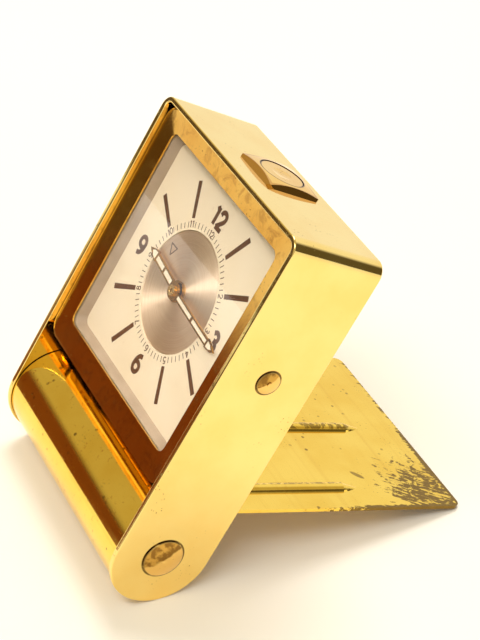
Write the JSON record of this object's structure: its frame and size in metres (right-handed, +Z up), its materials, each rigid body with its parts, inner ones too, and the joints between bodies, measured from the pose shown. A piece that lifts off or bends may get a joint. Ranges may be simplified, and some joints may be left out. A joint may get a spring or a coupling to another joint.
{
  "type": "folding travel alarm clock",
  "caption": "Square gilt alarm clock in a strap case whose ribbed lid swings round on a rolled hinge to prop it up, with stop button, keys and movement.",
  "frame": {"origin": "on the table under the middle of the clock's outline as it stands on its opened lid", "axes": "+X towards the dial's 3 o'clock side, +Y to the back where the lid lies, +Z up; the dial faces -Y"},
  "size_m": [0.0518, 0.0696, 0.068],
  "materials": {
    "gilt_case": "polished gilt brass, lightly worn",
    "gilt_lid": "polished gilt brass, worn and scratched",
    "gilt_bezel": "polished gilt brass",
    "glass": "clear flat mineral glass",
    "flange_paint": "satin beige",
    "dial_paint": "satin cream lacquer",
    "brushed_disc": "circular brushed champagne lacquer",
    "hand_gilt": "polished gilt",
    "hand_fill": "cream fill",
    "back_brass": "brushed gilt brass",
    "key_brass": "turned brass",
    "movement_brass": "fine brushed brass",
    "steel": "ground steel"
  },
  "bodies": {
    "case": {"case_shell": "gilt_case", "hinge_studs": "gilt_case", "hinge_washers": "steel", "button_boss": "gilt_case", "button_spring": "steel", "module_pins": "gilt_case", "module_case": "gilt_case", "bezel": "gilt_bezel", "crystal": "glass", "dial_flange": "flange_paint", "dial": "dial_paint", "back_cover": "back_brass", "cover_posts": "movement_brass", "cover_screws": "steel", "main_plate": "movement_brass", "back_plate": "movement_brass", "plate_pillars": "movement_brass", "plate_screws": "steel", "click_pins": "steel", "hairspring": "steel", "balance_cock": "movement_brass", "gong_post": "steel"},
    "lid": {"lid": "gilt_lid", "lid_end_plugs": "gilt_lid"},
    "stop_button": {"stop_button": "gilt_case", "button_clip": "steel"},
    "minute_hand": {"minute_hand": "hand_gilt", "minute_fill": "hand_fill", "hand_cap": "hand_gilt", "cannon_pinion": "steel"},
    "hour_hand": {"hour_hand": "hand_gilt", "hour_fill": "hand_fill", "hour_wheel": "movement_brass"},
    "minute_wheel": {"minute_wheel": "movement_brass", "hand_set_knob": "key_brass"},
    "alarm_disc": {"alarm_disc": "brushed_disc", "alarm_wheel": "movement_brass"},
    "alarm_setter": {"alarm_set_pinion": "steel", "alarm_set_knob": "key_brass"},
    "going_barrel": {"going_barrel": "movement_brass", "mainspring": "steel"},
    "winding_key": {"barrel_arbor": "steel", "ratchet_wheel": "steel", "winding_key": "key_brass"},
    "ratchet_click": {"ratchet_click": "steel"},
    "centre_wheel": {"centre_wheel": "movement_brass"},
    "third_wheel": {"third_wheel": "movement_brass"},
    "fourth_wheel": {"fourth_wheel": "movement_brass"},
    "escape_wheel": {"escape_wheel": "steel"},
    "pallet_lever": {"pallet_lever": "steel"},
    "balance": {"balance_wheel": "movement_brass"},
    "regulator": {"regulator": "steel"},
    "alarm_barrel": {"alarm_barrel": "movement_brass", "alarm_mainspring": "steel"},
    "alarm_key": {"alarm_arbor": "steel", "alarm_ratchet": "steel", "alarm_key": "key_brass"},
    "alarm_click": {"alarm_click": "steel"},
    "hammer_wheel": {"hammer_wheel": "steel"},
    "hammer": {"hammer": "steel"}
  },
  "joints": [
    {"name": "lid_hinge", "type": "hinge", "parent": "case", "child": "lid", "pos_m": [0, -0.02541, 0.0094], "axis": [1, 0, 0], "range_deg": [-281.05, 0]},
    {"name": "button_press", "type": "slide", "parent": "case", "child": "stop_button", "axis": [0, -0.4664, -0.8846], "range_m": [0, 0.00045], "stiffness_N_per_m": 900, "springref_m": -0.0006, "deforming": ["button_spring"]},
    {"name": "minute_hand_turn", "type": "hinge", "parent": "case", "child": "minute_hand", "pos_m": [0, -0.00833, 0.0418], "axis": [0, -0.8846, 0.4664], "continuous": true},
    {"name": "hour_hand_turn", "type": "hinge", "parent": "case", "child": "hour_hand", "pos_m": [0, -0.00833, 0.0418], "axis": [0, -0.8846, 0.4664], "continuous": true},
    {"name": "minute_wheel_turn", "type": "hinge", "parent": "case", "child": "minute_wheel", "pos_m": [-0.0036, -0.00542, 0.04732], "axis": [0, -0.8846, 0.4664], "continuous": true},
    {"name": "alarm_disc_turn", "type": "hinge", "parent": "case", "child": "alarm_disc", "pos_m": [0, -0.00833, 0.0418], "axis": [0, -0.8846, 0.4664], "continuous": true},
    {"name": "alarm_setter_turn", "type": "hinge", "parent": "case", "child": "alarm_setter", "pos_m": [-0.01088, -0.00596, 0.04629], "axis": [0, -0.8846, 0.4664], "continuous": true},
    {"name": "fourth_wheel_turn", "type": "hinge", "parent": "case", "child": "fourth_wheel", "pos_m": [0.0104, -0.00542, 0.04732], "axis": [0, -0.8846, 0.4664], "continuous": true},
    {"name": "third_wheel_turn", "type": "hinge", "parent": "case", "child": "third_wheel", "pos_m": [0.0036, -0.00542, 0.04732], "axis": [0, -0.8846, 0.4664], "continuous": true},
    {"name": "centre_wheel_turn", "type": "hinge", "parent": "case", "child": "centre_wheel", "pos_m": [0, -0.00833, 0.0418], "axis": [0, -0.8846, 0.4664], "continuous": true},
    {"name": "going_barrel_turn", "type": "hinge", "parent": "case", "child": "going_barrel", "pos_m": [-0.00958, -0.01146, 0.03587], "axis": [0, -0.8846, 0.4664], "continuous": true},
    {"name": "escape_wheel_turn", "type": "hinge", "parent": "case", "child": "escape_wheel", "pos_m": [0.01238, -0.00795, 0.04252], "axis": [0, -0.8846, 0.4664], "continuous": true},
    {"name": "winding_turn", "type": "hinge", "parent": "case", "child": "winding_key", "pos_m": [-0.00958, -0.01146, 0.03587], "axis": [0, -0.8846, 0.4664], "continuous": true},
    {"name": "alarm_winding_turn", "type": "hinge", "parent": "case", "child": "alarm_key", "pos_m": [0.0055, -0.01556, 0.02809], "axis": [0, -0.8846, 0.4664], "continuous": true},
    {"name": "alarm_barrel_turn", "type": "hinge", "parent": "case", "child": "alarm_barrel", "pos_m": [0.0055, -0.01556, 0.02809], "axis": [0, -0.8846, 0.4664], "continuous": true},
    {"name": "hammer_wheel_turn", "type": "hinge", "parent": "case", "child": "hammer_wheel", "pos_m": [0.01165, -0.01505, 0.02905], "axis": [0, -0.8846, 0.4664], "continuous": true},
    {"name": "click_tilt", "type": "hinge", "parent": "case", "child": "ratchet_click", "pos_m": [-0.00958, -0.00896, 0.0406], "axis": [0, -0.8846, 0.4664], "range_deg": [-10, 0]},
    {"name": "alarm_click_tilt", "type": "hinge", "parent": "case", "child": "alarm_click", "pos_m": [0.00095, -0.01556, 0.02809], "axis": [0, -0.8846, 0.4664], "range_deg": [0, 10]},
    {"name": "pallet_swing", "type": "hinge", "parent": "case", "child": "pallet_lever", "pos_m": [0.01468, -0.00981, 0.039], "axis": [0, -0.8846, 0.4664], "range_deg": [-3, 3]},
    {"name": "balance_swing", "type": "hinge", "parent": "case", "child": "balance", "pos_m": [0.01718, -0.01183, 0.03517], "axis": [0, -0.8846, 0.4664], "range_deg": [-220, 220]},
    {"name": "regulator_swing", "type": "hinge", "parent": "case", "child": "regulator", "pos_m": [0.01718, -0.01183, 0.03517], "axis": [0, -0.8846, 0.4664], "range_deg": [-18, 18]},
    {"name": "hammer_swing", "type": "hinge", "parent": "case", "child": "hammer", "pos_m": [0.019, -0.01369, 0.03163], "axis": [0, -0.8846, 0.4664], "range_deg": [-3, 2]}
  ],
  "couplings": [
    {"joint": "hour_hand_turn", "follows": "minute_hand_turn", "ratio": 0.083333},
    {"joint": "minute_wheel_turn", "follows": "minute_hand_turn", "ratio": -0.33333},
    {"joint": "alarm_setter_turn", "follows": "alarm_disc_turn", "ratio": -3},
    {"joint": "third_wheel_turn", "follows": "fourth_wheel_turn", "ratio": -0.13333},
    {"joint": "centre_wheel_turn", "follows": "fourth_wheel_turn", "ratio": 0.016667},
    {"joint": "going_barrel_turn", "follows": "fourth_wheel_turn", "ratio": -0.0020833},
    {"joint": "escape_wheel_turn", "follows": "fourth_wheel_turn", "ratio": -10},
    {"joint": "hammer_wheel_turn", "follows": "alarm_barrel_turn", "ratio": -5}
  ]
}
